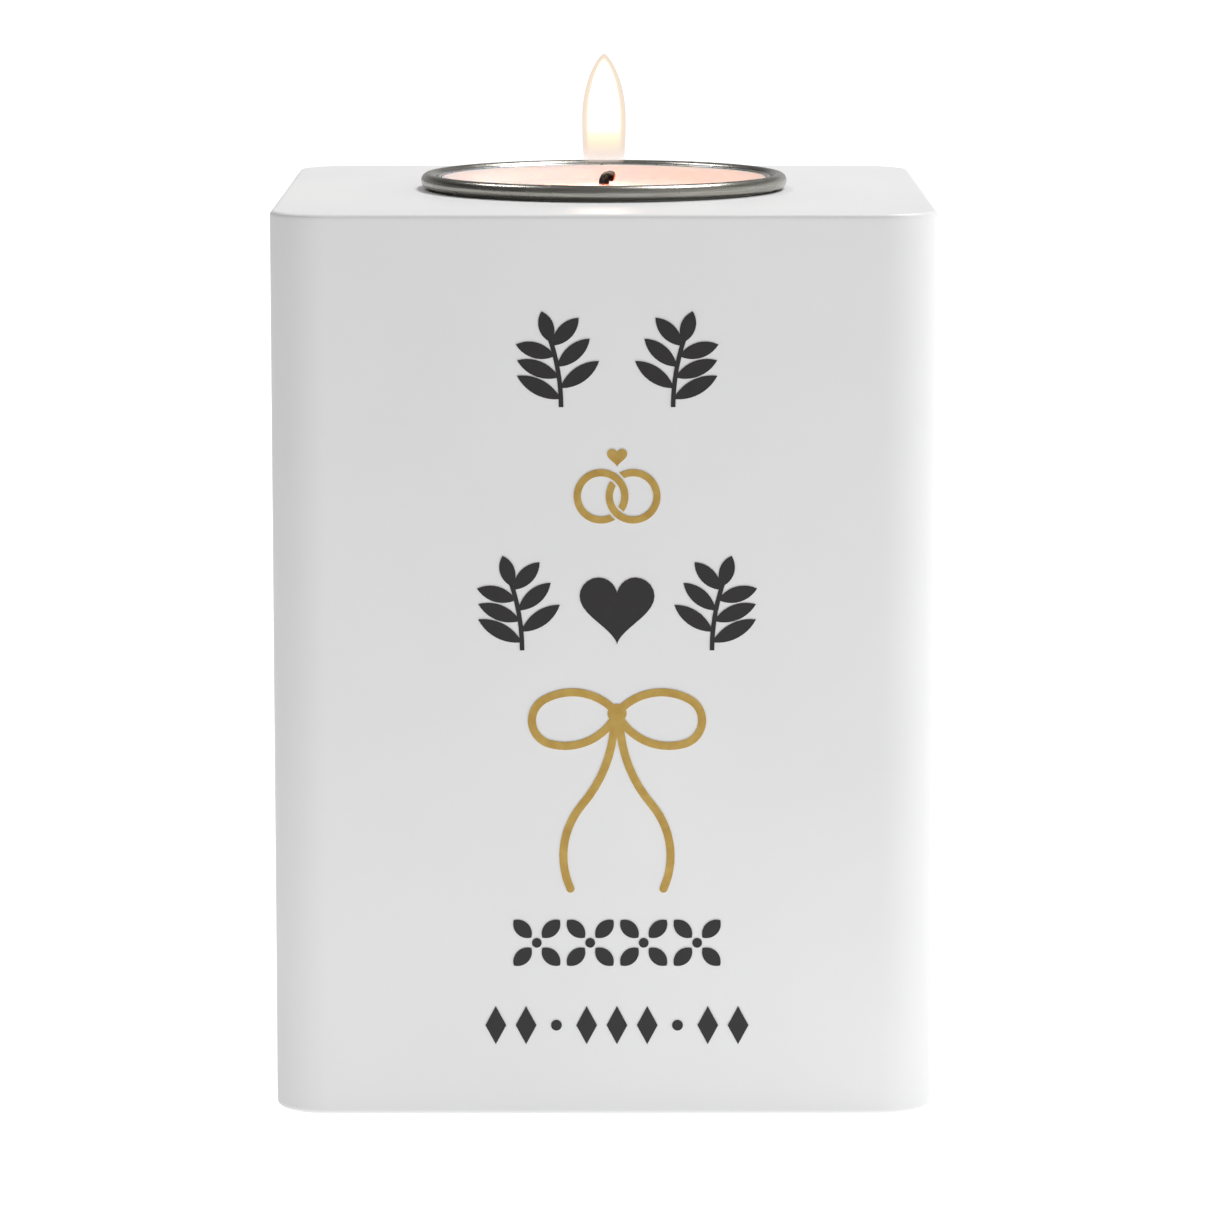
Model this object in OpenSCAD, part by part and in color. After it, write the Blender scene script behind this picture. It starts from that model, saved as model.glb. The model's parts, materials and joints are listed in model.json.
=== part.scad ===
// Block tea light holder, lit: a painted wooden block with a rolled-rim metal cup sunk in its
// top, a tea light standing in that cup, and a two-colour ornament printed on the front.
// The origin is the centre of the base, +Z is up and the printed front faces -Y.

/* [Block] */
// Width of the block, side to side
block_w = 73; // [60:1:110]
// Depth of the block, front to back
block_d = 73; // [60:1:110]
// Height of the block
block_h = 100; // [60:1:160]
// Radius of the four upright edges
corner_r = 6; // [3:0.5:9]
// Radius that softens the top and bottom edges
edge_r = 0.5; // [0.3:0.1:1.5]
// Gap between the bore's wall and the cup in it
bore_gap = 0.2; // [0.1:0.05:0.5]

/* [Insert cup] */
// Thickness of the cup's sheet metal
insert_wall = 0.4; // [0.3:0.05:0.6]
// Outside diameter of the tube that the rim is rolled into
bead_d = 1.7; // [1.4:0.1:3]
// Gap between the block's top and the rolled rim, as the cup stands on the bore's floor
rim_gap = 0.15; // [0.05:0.05:0.5]
// Outside radius where the insert's wall meets its floor
insert_foot_r = 1.2; // [0.8:0.1:2.5]
// Gap between the tea light's lip and the insert's wall
tealight_gap = 0.15; // [0.15:0.05:1.5]

/* [Tea light] */
// Diameter over the tea light's lip
tealight_d = 38.2; // [28:0.1:48]
// Height of the tea light's cup
tealight_h = 16; // [10:0.5:24]
// How far the tea light's lip sits below the top of the insert's rim
lip_drop = 0.35; // [0:0.05:3]
// Thickness of the tea light's foil cup
foil_wall = 0.15; // [0.1:0.05:0.4]
// Diameter of the roll along the foil cup's lip
lip_d = 0.4; // [0.3:0.05:0.9]
// Outside radius where the foil cup's wall meets its floor
foil_foot_r = 1; // [0.6:0.1:2]

/* [Wax and wick] */
// How far the wax at the wall stands below the lip
wax_drop = 0.15; // [0.1:0.05:3]
// How far the melted pool lies below the wax at the wall
pool_drop = 1.05; // [0.3:0.05:2.5]
// Radius of the melted pool
pool_r = 11; // [7:0.5:12]
// Width of the slope from the pool up to the wax at the wall
slope_w = 5; // [2:0.5:6]
// Gap where the wax has shrunk away from the foil cup's lip
wax_shrink = 0.05; // [0.02:0.01:0.2]
// Gap between the cast wax and what stands in it
cast_gap = 0.03; // [0.02:0.01:0.1]
// Thickness of the wick
wick_d = 1.2; // [0.9:0.05:1.5]
// Height from the pool to where the wick starts to curl over
wick_straight = 0.5; // [0.2:0.05:6]
// Radius of the curl at the top of the wick, along its middle
curl_r = 0.65; // [0.65:0.05:2]
// Angle that the wick curls through
curl_angle = 100; // [40:5:150]
// Diameter of the sustainer's disc
sustainer_d = 13; // [9:0.5:16]
// Thickness of the sustainer's tinplate
sustainer_t = 0.3; // [0.2:0.05:0.5]
// Wall of the neck that is crimped on the wick
neck_wall = 0.5; // [0.3:0.1:0.8]
// Height of the neck above the disc
neck_h = 3; // [2:0.5:5]

/* [Flame] */
// Widest diameter of the flame
flame_d = 5; // [3:0.1:9]
// Height from the flame's widest part up to its tip
flame_top = 7.5; // [4:0.5:20]
// Height from the flame's root up to its widest part
flame_root = 7.4; // [4:0.1:12]
// Height of the flame's root above the melted pool
flame_lift = 0.2; // [0.2:0.1:1.5]

/* [Print] */
// Bare height of the front below the print
print_bottom = 8; // [5:0.5:12]
// Bare height of the front above the print
print_top = 11; // [6:0.5:15]
// How far the print's middle sits to the right of the block's
print_shift = 1.45; // [-3:0.05:3]
// Thickness of the ink
ink_t = 0.08; // [0.05:0.01:0.15]
// Width of the bow's line, at drawing size
bow_line = 0.88; // [0.6:0.02:1.2]
// Width of a sprig's stem, at drawing size
stem_line = 0.5; // [0.4:0.05:0.8]
// Width of the rings' line, at drawing size
ring_line = 0.78; // [0.5:0.02:1.1]

/* [Hidden] */
$fn = 96;

// Radii, outwards from the middle of the tea light
wick_r = wick_d / 2;
curl_mid_r = max(curl_r, wick_r + cast_gap + 0.02); // a thicker wick still clears the curl's axis
lip_outer_r = tealight_d / 2;
foil_r = lip_outer_r - (lip_d - foil_wall) / 2;
wax_r = lip_outer_r - max(lip_d, (lip_d + foil_wall) / 2) - wax_shrink;
insert_inner_r = lip_outer_r + tealight_gap;
insert_r = insert_inner_r + insert_wall;
bead_mid_r = insert_inner_r + bead_d / 2;
bore_r = insert_r + bore_gap;

// Heights, downwards from the top of the rolled rim
rim_z = block_h + rim_gap + bead_d;
lip_z = rim_z - lip_drop;
wax_z = lip_z - wax_drop;
pool_z = wax_z - pool_drop;
insert_floor_z = lip_z - tealight_h;
foil_floor_z = insert_floor_z + foil_wall;
insert_z = insert_floor_z - insert_wall;

// Places in the print, from its bottom edge at drawing size
art_h = 81;
row_gems = 2.2;
row_florets = 11.5;
row_knot = 37.2;
row_sprigs = 49.2;
row_rings = 62.4;
row_pair = 76;
art_scale = (block_h - print_bottom - print_top) / art_h;

// ---------- Block ----------

module rounded_rect(w, h, r) {
    translate([-w / 2, r]) square([w, h - 2 * r]);
    translate([r - w / 2, 0]) square([w - 2 * r, h]);
    for (x = [r - w / 2, w / 2 - r], y = [r, h - r]) translate([x, y]) circle(r);
}

module corner_post() {
    rotate_extrude() intersection() {
        rounded_rect(2 * corner_r, block_h, edge_r);
        square([corner_r, block_h]);
    }
}

module block() color("whitesmoke") difference() {
    union() {
        rotate([90, 0, 0]) linear_extrude(block_d - 2 * corner_r, center = true)
            rounded_rect(block_w, block_h, edge_r);
        rotate([90, 0, 90]) linear_extrude(block_w - 2 * corner_r, center = true)
            rounded_rect(block_d, block_h, edge_r);
        for (x = [-1, 1], y = [-1, 1])
            translate([x * (block_w / 2 - corner_r), y * (block_d / 2 - corner_r), 0]) corner_post();
    }
    translate([0, 0, insert_z]) cylinder(r = bore_r, h = block_h);
}

// ---------- Cups ----------

// Half of a round-footed cup's outline, from its axis outwards
module cup_outline(r, h, foot_r) {
    square([r - foot_r, h]);
    translate([0, foot_r]) square([r, h - foot_r]);
    translate([r - foot_r, foot_r]) circle(foot_r);
}

module cup_section(r, h, foot_r, wall) difference() {
    cup_outline(r, h, foot_r);
    translate([0, wall]) cup_outline(r - wall, h, foot_r - wall);
}

// The rim is rolled outwards through three quarters of a turn
module rolled_rim_section() difference() {
    circle(bead_d / 2);
    circle(bead_d / 2 - insert_wall);
    translate([-bead_d, -bead_d]) square(bead_d);
}

module insert_cup() color("silver") rotate_extrude() {
    translate([0, insert_z])
        cup_section(insert_r, rim_z - bead_d / 2 - insert_z, insert_foot_r, insert_wall);
    translate([bead_mid_r, rim_z - bead_d / 2]) rolled_rim_section();
}

module tealight_cup() color("gainsboro") rotate_extrude() {
    translate([0, insert_floor_z])
        cup_section(foil_r, tealight_h - lip_d / 2, foil_foot_r, foil_wall);
    translate([lip_outer_r - lip_d / 2, lip_z - lip_d / 2]) circle(lip_d / 2);
}

// ---------- Wax and wick ----------

// Height of the wax at a share of the way up its slope
function slope_z(share) = pool_z + pool_drop * (1 - cos(180 * share)) / 2;

module wax() color("linen") difference() {
    rotate_extrude() intersection() {
        translate([0, foil_floor_z]) cup_outline(wax_r, tealight_h, foil_foot_r - foil_wall);
        polygon(concat(
            [[0, foil_floor_z], [0, pool_z]],
            [for (i = [0:12]) [pool_r + slope_w * i / 12, slope_z(i / 12)]],
            [[wax_r, wax_z], [wax_r, foil_floor_z]]
        ));
    }
    translate([0, 0, foil_floor_z - 1]) {
        cylinder(r = wick_r + cast_gap, h = tealight_h);
        cylinder(d = sustainer_d + 2 * cast_gap, h = 1 + sustainer_t + cast_gap);
        cylinder(r = wick_r + neck_wall + 2 * cast_gap, h = 1 + sustainer_t + neck_h + cast_gap);
    }
}

// The wick stands straight and curls over at its top; grow thickens it for a cut with a gap
module wick_shape(grow = 0) {
    r = wick_r + grow;
    translate([0, 0, foil_floor_z]) cylinder(r = r, h = pool_z + wick_straight - foil_floor_z);
    translate([curl_mid_r, 0, pool_z + wick_straight]) {
        rotate([90, 0, 0]) rotate_extrude(angle = curl_angle, start = 180 - curl_angle)
            translate([curl_mid_r, 0]) circle(r);
        translate([-curl_mid_r * cos(curl_angle), 0, curl_mid_r * sin(curl_angle)]) sphere(r);
    }
}

module wick() color("dimgray") wick_shape();

module wick_sustainer() color("darkgray") translate([0, 0, foil_floor_z]) difference() {
    union() {
        cylinder(d = sustainer_d, h = sustainer_t);
        cylinder(r = wick_r + cast_gap + neck_wall, h = sustainer_t + neck_h);
    }
    translate([0, 0, -1]) cylinder(r = wick_r + cast_gap, h = neck_h + 3);
}

// ---------- Flame ----------

// Radius at a height above the widest part: a blunt tip above, a rounded root below
function flame_r(z) = flame_d / 2 * (z > 0
    ? pow(1 - pow(z / flame_top, 2), 0.72)
    : pow(1 - pow(z / flame_root, 2), 0.12));

// The flame burns round the wick, so it is hollow there
module flame() color("moccasin") difference() {
    steps = 40;
    translate([0, 0, pool_z + flame_lift + flame_root]) rotate_extrude()
        polygon([for (i = [0:steps])
            let (z = -cos(180 * i / steps) * (i < steps / 2 ? flame_root : flame_top))
            [flame_r(z), z]]);
    wick_shape(cast_gap);
}

// ---------- Print ----------

// Stands what is drawn at drawing size on the front face, scaled to fit
module on_front() {
    translate([print_shift, -block_d / 2, print_bottom]) rotate([90, 0, 0])
        scale(art_scale) children();
}

// Gives a flat drawing the thickness of the ink
module ink() linear_extrude(ink_t / art_scale) children();

// A leaf with its foot at the origin, pointing along +X
module leaf(l, w) {
    r = (l * l + w * w) / (4 * w);
    intersection() {
        translate([l / 2, r - w / 2]) circle(r);
        translate([l / 2, w / 2 - r]) circle(r);
    }
}

module heart(w) {
    polygon([for (a = [0:7.5:352.5])
        w / 32 * [16 * pow(sin(a), 3), 13 * cos(a) - 5 * cos(2 * a) - 2 * cos(3 * a) - cos(4 * a)]]);
}

// A leafy sprig that stands on the origin and bends to the right
module sprig(h, leaves = 6) {
    bend_r = 2.3 * h;
    stem_h = 0.7 * h;
    reach = asin(stem_h / bend_r);
    module along_stem(share) translate([bend_r, 0]) rotate(-reach * share) translate([-bend_r, 0])
        children();
    intersection() {
        translate([bend_r, 0]) difference() {
            circle(bend_r + stem_line / 2);
            circle(bend_r - stem_line / 2);
        }
        translate([-h / 2, 0]) square([h, stem_h]);
    }
    for (i = [0:leaves - 1]) along_stem(0.12 + 0.96 * i / leaves)
        rotate(90 + (i % 2 ? 60 : -60)) leaf(h * (0.52 - 0.14 * i / leaves), h * 0.165);
    along_stem(0.97) rotate(90) leaf(0.34 * h, 0.16 * h);
}

module mirrored_pair() {
    children();
    mirror([1, 0]) children();
}

module floret(w) {
    circle(0.09 * w);
    for (i = [0:3]) rotate(90 * i + 45) translate([0.14 * w, 0]) leaf(0.46 * w, 0.27 * w);
}

module gem(w, h) polygon([[-w / 2, 0], [0, -h / 2], [w / 2, 0], [0, h / 2]]);

module black_print() color("dimgray") on_front() {
    ink() translate([0, row_pair - 5]) mirrored_pair() translate([6.1, 0]) sprig(10.4);
    ink() translate([0, row_sprigs]) heart(8.2);
    ink() translate([0, row_sprigs - 5]) mirrored_pair() translate([10.4, 0]) sprig(10.4);
    ink() for (i = [-1.5:1.5]) translate([5.9 * i, row_florets]) floret(6);
    ink() for (i = [-4:4]) translate([3.35 * i, row_gems])
        if (abs(i) == 2) circle(0.6); else gem(2.3, 4.3);
}

// Points [x, y, heading] along a line made of arcs, each [radius, turn], a left turn being positive
function walk(arcs, at = [0, 0], heading = 0, i = 0) = i == len(arcs) ? [[at.x, at.y, heading]] :
    let (
        r = arcs[i][0], turn = arcs[i][1], side = turn > 0 ? 1 : -1, steps = ceil(abs(turn) / 5),
        middle = at + side * r * [-sin(heading), cos(heading)],
        place = function(h) middle + side * r * [sin(h), -cos(h)]
    )
    concat(
        [for (k = [0:steps - 1]) let (h = heading + turn * k / steps) [place(h).x, place(h).y, h]],
        walk(arcs, place(heading + turn), heading + turn, i + 1)
    );

// Points a distance to the left of such a line
function beside(line, d) = [for (p = line) [p.x - d * sin(p.z), p.y + d * cos(p.z)]];
function reversed(list) = [for (i = [len(list) - 1:-1:0]) list[i]];
function flipped(list) = [for (p = reversed(list)) [p.x, -p.y]];

// A line of one width with a round end
module ribbon(line, w) {
    end = line[len(line) - 1];
    round_end = [for (a = [75:-15:-75]) [end.x, end.y] + w / 2 * [cos(end.z + a), sin(end.z + a)]];
    polygon(concat(beside(line, w / 2), round_end, reversed(beside(line, -w / 2))));
}

// One loop of the bow, along +X: the upper half is two arcs and the lower half its reflection.
// The second arc's radius brings the line square to the loop's own axis.
module bow_loop() {
    spread = 58;
    first_turn = 80;
    big_r = 6.3;
    small_r = big_r * (1 - cos(spread) / cos(spread - first_turn));
    upper = walk([[big_r, -first_turn], [small_r, first_turn - spread - 90]], heading = spread);
    inner = [for (p = beside(upper, -bow_line / 2)) if (p.y > 0.05) p];
    outer = beside(upper, bow_line / 2);
    difference() {
        polygon(concat(outer, flipped(outer)));
        polygon(concat(inner, flipped(inner)));
    }
}

module bow() {
    ink() circle(1.05);
    mirrored_pair() {
        ink() rotate(-7) bow_loop();
        ink() ribbon(walk([[15, 42], [9, -64]], at = [0.3, 0], heading = -92), bow_line);
    }
}

// Two linked rings, each broken where it passes behind the other, under a small heart
module rings() {
    r = 2.6;
    apart = 1.75;
    module ring(x, extra = 0) translate([x, 0]) difference() {
        circle(r + ring_line / 2 + extra);
        circle(r - ring_line / 2 - extra);
    }
    ink() for (side = [-1, 1]) difference() {
        ring(side * apart);
        intersection() {
            ring(-side * apart, 0.25);
            translate([-r, side > 0 ? 0 : -2 * r]) square(2 * r);
        }
    }
    ink() translate([0, 4.4]) heart(2.2);
}

module gold_print() color("goldenrod") on_front() {
    translate([0, row_rings - 1.2]) rings();
    translate([0, row_knot]) bow();
}

block();
insert_cup();
tealight_cup();
wax();
wick();
wick_sustainer();
flame();
black_print();
gold_print();
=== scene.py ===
# A lit block tea light holder: a painted wooden block, a rolled-rim steel cup sunk in its top,
# a tea light standing in that cup, and a two-colour ornament printed on the front.

import json
import math

import bmesh
import bpy
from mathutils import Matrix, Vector

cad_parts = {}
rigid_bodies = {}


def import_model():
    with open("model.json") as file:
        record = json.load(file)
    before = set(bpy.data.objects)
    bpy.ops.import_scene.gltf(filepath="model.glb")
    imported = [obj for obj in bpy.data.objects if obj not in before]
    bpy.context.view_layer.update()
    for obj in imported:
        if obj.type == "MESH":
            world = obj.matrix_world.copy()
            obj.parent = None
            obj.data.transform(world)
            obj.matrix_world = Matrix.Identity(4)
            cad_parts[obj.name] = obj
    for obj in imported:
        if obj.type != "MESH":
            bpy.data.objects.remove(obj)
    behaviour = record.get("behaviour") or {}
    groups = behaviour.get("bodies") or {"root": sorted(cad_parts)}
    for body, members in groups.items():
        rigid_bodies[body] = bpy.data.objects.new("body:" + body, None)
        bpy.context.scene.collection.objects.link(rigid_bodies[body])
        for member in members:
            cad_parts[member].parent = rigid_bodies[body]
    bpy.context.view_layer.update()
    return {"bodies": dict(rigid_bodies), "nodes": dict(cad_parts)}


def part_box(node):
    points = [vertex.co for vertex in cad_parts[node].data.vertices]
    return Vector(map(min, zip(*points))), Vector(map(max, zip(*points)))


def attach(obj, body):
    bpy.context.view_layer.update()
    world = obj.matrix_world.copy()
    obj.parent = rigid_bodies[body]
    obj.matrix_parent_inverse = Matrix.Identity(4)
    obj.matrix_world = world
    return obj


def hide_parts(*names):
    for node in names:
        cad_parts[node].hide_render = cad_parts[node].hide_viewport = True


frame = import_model()

# ---------------------------------------------------------------------------------------------
# Painted block
# A solid block of close-grained beech, planed, its upright corners rounded on a router and its
# top and bottom edges just broken with paper, bored from above for the cup, then sprayed with
# white satin lacquer and rubbed down between coats.

MM = 0.001
block_low, block_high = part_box("block")
BLOCK_W = block_high.x - block_low.x
BLOCK_D = block_high.y - block_low.y
BLOCK_H = block_high.z
CORNER_R = 6 * MM
EDGE_R = 0.5 * MM
# The bore takes the cup with a little room round it, and the cup stands on its floor
cup_low, cup_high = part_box("insert_cup")
INSERT_WALL = 0.4 * MM
BEAD_R = 0.85 * MM
INSERT_R = cup_high.x - 2 * BEAD_R + INSERT_WALL
BORE_R = INSERT_R + 0.2 * MM
BORE_FLOOR = cup_low.z
BORE_EDGE = 0.25 * MM
CORNER_STEPS = 24
SIDE_STEPS = 16
EDGE_STEPS = 6
# A narrow flat strip beside each rounding keeps the wide faces truly flat when shaded smooth
HOLD = 0.3 * MM


def corner_ring(inset, z):
    """A ring round the block at a height, drawn in from its outline."""
    ring = []
    for quarter, (side_x, side_y) in enumerate([(1, 1), (-1, 1), (-1, -1), (1, -1)]):
        middle = Vector((side_x * (BLOCK_W / 2 - CORNER_R), side_y * (BLOCK_D / 2 - CORNER_R), z))
        for step in range(CORNER_STEPS + 1):
            turn = math.radians(90 * quarter + 90 * step / CORNER_STEPS)
            ring.append(middle + (CORNER_R - inset) * Vector((math.cos(turn), math.sin(turn), 0)))
        next_x, next_y = [(-1, 1), (-1, -1), (1, -1), (1, 1)][quarter]
        turn = math.radians(90 * (quarter + 1))
        last = ring[-1]
        first = Vector((next_x * (BLOCK_W / 2 - CORNER_R), next_y * (BLOCK_D / 2 - CORNER_R), z))
        first += (CORNER_R - inset) * Vector((math.cos(turn), math.sin(turn), 0))
        ring += [last.lerp(first, step / SIDE_STEPS) for step in range(1, SIDE_STEPS)]
    return ring


def bore_ring(radius, z):
    """A ring round the bore whose points stand opposite those of the outline."""
    return [Vector((radius * p.x, radius * p.y, 0)) / p.xy.length + Vector((0, 0, z))
            for p in corner_ring(0, 0)]


def skin(name, rings):
    """A closed mesh over a stack of rings of the same count; a ring of one point is a pole."""
    bm = bmesh.new()
    rows = [[bm.verts.new(p) for p in ring] for ring in rings]
    for low, high in zip(rows, rows[1:]):
        count = max(len(low), len(high))
        for i in range(count):
            j = (i + 1) % count
            corners = [low[i % len(low)], low[j % len(low)], high[j % len(high)], high[i % len(high)]]
            bm.faces.new(list(dict.fromkeys(corners)))
    return finished(name, bm)


def finished(name, bm):
    """The object made of a bmesh: doubles merged, faces outwards, shaded smooth."""
    bmesh.ops.remove_doubles(bm, verts=bm.verts, dist=1e-6)
    bmesh.ops.recalc_face_normals(bm, faces=bm.faces)
    mesh = bpy.data.meshes.new(name)
    bm.to_mesh(mesh)
    bm.free()
    mesh.shade_smooth()
    piece = bpy.data.objects.new(name, mesh)
    bpy.context.scene.collection.objects.link(piece)
    return piece


def edge_rings(at_top):
    """The rings that round an edge over, from the flat face out to the upright sides."""
    rings = [corner_ring(EDGE_R + HOLD, BLOCK_H if at_top else 0)]
    for step in range(EDGE_STEPS + 1):
        turn = math.radians(90 * step / EDGE_STEPS)
        inset = EDGE_R * (1 - math.sin(turn))
        drop = EDGE_R * (1 - math.cos(turn))
        rings.append(corner_ring(inset, BLOCK_H - drop if at_top else drop))
    drop = EDGE_R + HOLD
    rings.append(corner_ring(0, BLOCK_H - drop if at_top else drop))
    return rings


bore_rings = [
    [Vector((0, 0, BORE_FLOOR))],
    bore_ring(BORE_R - HOLD, BORE_FLOOR),
    bore_ring(BORE_R, BORE_FLOOR),
    bore_ring(BORE_R, BORE_FLOOR + HOLD),
    bore_ring(BORE_R, BLOCK_H - BORE_EDGE - HOLD),
]
for step in range(EDGE_STEPS + 1):
    turn = math.radians(90 * step / EDGE_STEPS)
    bore_rings.append(bore_ring(BORE_R + BORE_EDGE * (1 - math.cos(turn)),
                                BLOCK_H - BORE_EDGE * (1 - math.sin(turn))))
bore_rings.append(bore_ring(BORE_R + BORE_EDGE + HOLD, BLOCK_H))
painted_block = skin("painted_block", bore_rings + edge_rings(True) + edge_rings(False)[::-1]
                     + [[Vector((0, 0, 0))]])


def linear(colour):
    """A hex colour as linear red, green, blue and alpha."""
    parts = [int(colour[i:i + 2], 16) / 255 for i in (1, 3, 5)]
    return [p / 12.92 if p <= 0.04045 else ((p + 0.055) / 1.055) ** 2.4 for p in parts] + [1]


def add(tree, kind, sockets=None, **settings):
    """Adds a node; sockets maps an input's name or number to a value, a node or its output."""
    made = tree.nodes.new(kind)
    for key, value in settings.items():
        setattr(made, key, value)
    for key, value in (sockets or {}).items():
        if isinstance(value, bpy.types.Node):
            value = value.outputs[0]
        if isinstance(value, bpy.types.NodeSocket):
            tree.links.new(value, made.inputs[key])
        else:
            made.inputs[key].default_value = value
    return made


def finish_named(name, **sockets):
    """A new material: its node tree and its shader, with the shader's plain sockets set."""
    material = bpy.data.materials.new(name)
    material.use_nodes = True
    shader = material.node_tree.nodes["Principled BSDF"]
    for key, value in sockets.items():
        shader.inputs[key.replace("_", " ")].default_value = value
    return material, material.node_tree, shader


def ramp(tree, factor, stops):
    """A colour ramp with its stops as (place, hex colour or grey value)."""
    made = add(tree, "ShaderNodeValToRGB", {0: factor})
    elements = made.color_ramp.elements
    while len(elements) < len(stops):
        elements.new(0.5)
    for element, (place, value) in zip(elements, stops):
        element.position = place
        element.color = linear(value) if isinstance(value, str) else (value, value, value, 1)
    return made


# White satin lacquer over sanded beech: a soft sheen with a fine spray texture, a trace of the
# grain under it and a dust nib here and there.
# The spray texture is drawn at 0.9 mm; the real one is nearer 0.3 mm, too fine to show.
lacquer, tree, shader = finish_named("white_satin_lacquer_on_beech", IOR=1.5)
place = add(tree, "ShaderNodeTexCoord").outputs["Object"]
patch = add(tree, "ShaderNodeTexNoise", {"Vector": place, "Scale": 42.0, "Detail": 3.0})
tint = ramp(tree, patch, [(0.3, "#ebebec"), (0.7, "#eeeeee")])
tree.links.new(tint.outputs[0], shader.inputs["Base Color"])
spray = add(tree, "ShaderNodeTexNoise", {"Vector": place, "Scale": 1100.0, "Detail": 2.0})
along_grain = add(tree, "ShaderNodeMapping", {"Vector": place, "Scale": (620.0, 620.0, 22.0)})
grain = add(tree, "ShaderNodeTexNoise", {"Vector": along_grain, "Scale": 1.0, "Detail": 2.0})
nibs = add(tree, "ShaderNodeTexVoronoi", {"Vector": place, "Scale": 105.0, "Randomness": 1.0})
nib = add(tree, "ShaderNodeMapRange", {0: nibs.outputs["Distance"], 1: 0.0, 2: 0.022, 3: 1.0, 4: 0.0})
sheen = add(tree, "ShaderNodeMapRange", {0: spray.outputs[0], 1: 0.25, 2: 0.75, 3: 0.38, 4: 0.44})
tree.links.new(sheen.outputs[0], shader.inputs["Roughness"])
relief = add(tree, "ShaderNodeBump", {"Height": spray.outputs[0], "Distance": 0.010 * MM})
relief = add(tree, "ShaderNodeBump", {"Height": grain.outputs[0], "Distance": 0.006 * MM,
                                      "Normal": relief})
relief = add(tree, "ShaderNodeBump", {"Height": nib, "Distance": 0.01 * MM, "Normal": relief})
tree.links.new(relief.outputs[0], shader.inputs["Normal"])

painted_block.data.materials.append(lacquer)
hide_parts("block")
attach(painted_block, "holder")

# ---------------------------------------------------------------------------------------------
# Black print
# Leafy sprigs, a heart, florets and a row of gems, pad-printed on the cured lacquer in matt
# black enamel ink: a film under a tenth of a millimetre thick with a faint ridge at its edge.

# Matt black enamel ink: not quite black, a little mottled where the pad lifted from it
black_ink, tree, shader = finish_named("matt_black_enamel_ink", IOR=1.48)
place = add(tree, "ShaderNodeTexCoord").outputs["Object"]
mottle = add(tree, "ShaderNodeTexNoise", {"Vector": place, "Scale": 900.0, "Detail": 4.0})
tint = ramp(tree, mottle, [(0.3, "#171415"), (0.7, "#231f20")])
tree.links.new(tint.outputs[0], shader.inputs["Base Color"])
sheen = add(tree, "ShaderNodeMapRange", {0: mottle.outputs[0], 1: 0.3, 2: 0.7, 3: 0.42, 4: 0.6})
tree.links.new(sheen.outputs[0], shader.inputs["Roughness"])
relief = add(tree, "ShaderNodeBump", {"Height": mottle.outputs[0], "Distance": 0.008 * MM})
tree.links.new(relief.outputs[0], shader.inputs["Normal"])
frame["nodes"]["black_print"].data.materials.clear()
frame["nodes"]["black_print"].data.materials.append(black_ink)

# ---------------------------------------------------------------------------------------------
# Gold print
# A heart, two linked rings and a ribbon bow in gold-coloured ink, printed after the black. The
# gold is fine bronze powder in varnish, so it is a soft ochre with only a faint metallic glint.

gold_ink, tree, shader = finish_named("bronze_powder_ink", IOR=1.5, Metallic=0.25)
place = add(tree, "ShaderNodeTexCoord").outputs["Object"]
mottle = add(tree, "ShaderNodeTexNoise", {"Vector": place, "Scale": 700.0, "Detail": 5.0})
tint = ramp(tree, mottle, [(0.3, "#b08c3c"), (0.7, "#c5a455")])
tree.links.new(tint.outputs[0], shader.inputs["Base Color"])
sheen = add(tree, "ShaderNodeMapRange", {0: mottle.outputs[0], 1: 0.3, 2: 0.7, 3: 0.4, 4: 0.58})
tree.links.new(sheen.outputs[0], shader.inputs["Roughness"])
powder = add(tree, "ShaderNodeTexVoronoi", {"Vector": place, "Scale": 5200.0})
relief = add(tree, "ShaderNodeBump", {"Height": powder.outputs["Distance"], "Distance": 0.008 * MM})
tree.links.new(relief.outputs[0], shader.inputs["Normal"])
frame["nodes"]["gold_print"].data.materials.clear()
frame["nodes"]["gold_print"].data.materials.append(gold_ink)

# ---------------------------------------------------------------------------------------------
# Insert cup
# A cup of 0.4 mm stainless steel, spun on a lathe and dropped loose into the bore. Its rim is
# rolled outwards through three quarters of a turn and stands a hair above the block.

INSERT_FLOOR = cup_low.z + INSERT_WALL
INSERT_FOOT = 1.2 * MM
BEAD_MID = (cup_high.x - BEAD_R, cup_high.z - BEAD_R)
# Extra points halfway up the cups' walls and part way across their floors, which are long and flat
MID_WALL = 93 * MM
MID_FLOOR = 8 * MM


def arc(middle, radius, start, end, steps):
    """Points along an arc in the section plane, from one angle to another, in degrees."""
    turns = [math.radians(start + (end - start) * i / steps) for i in range(steps + 1)]
    return [(middle[0] + radius * math.cos(t), middle[1] + radius * math.sin(t)) for t in turns]


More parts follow.
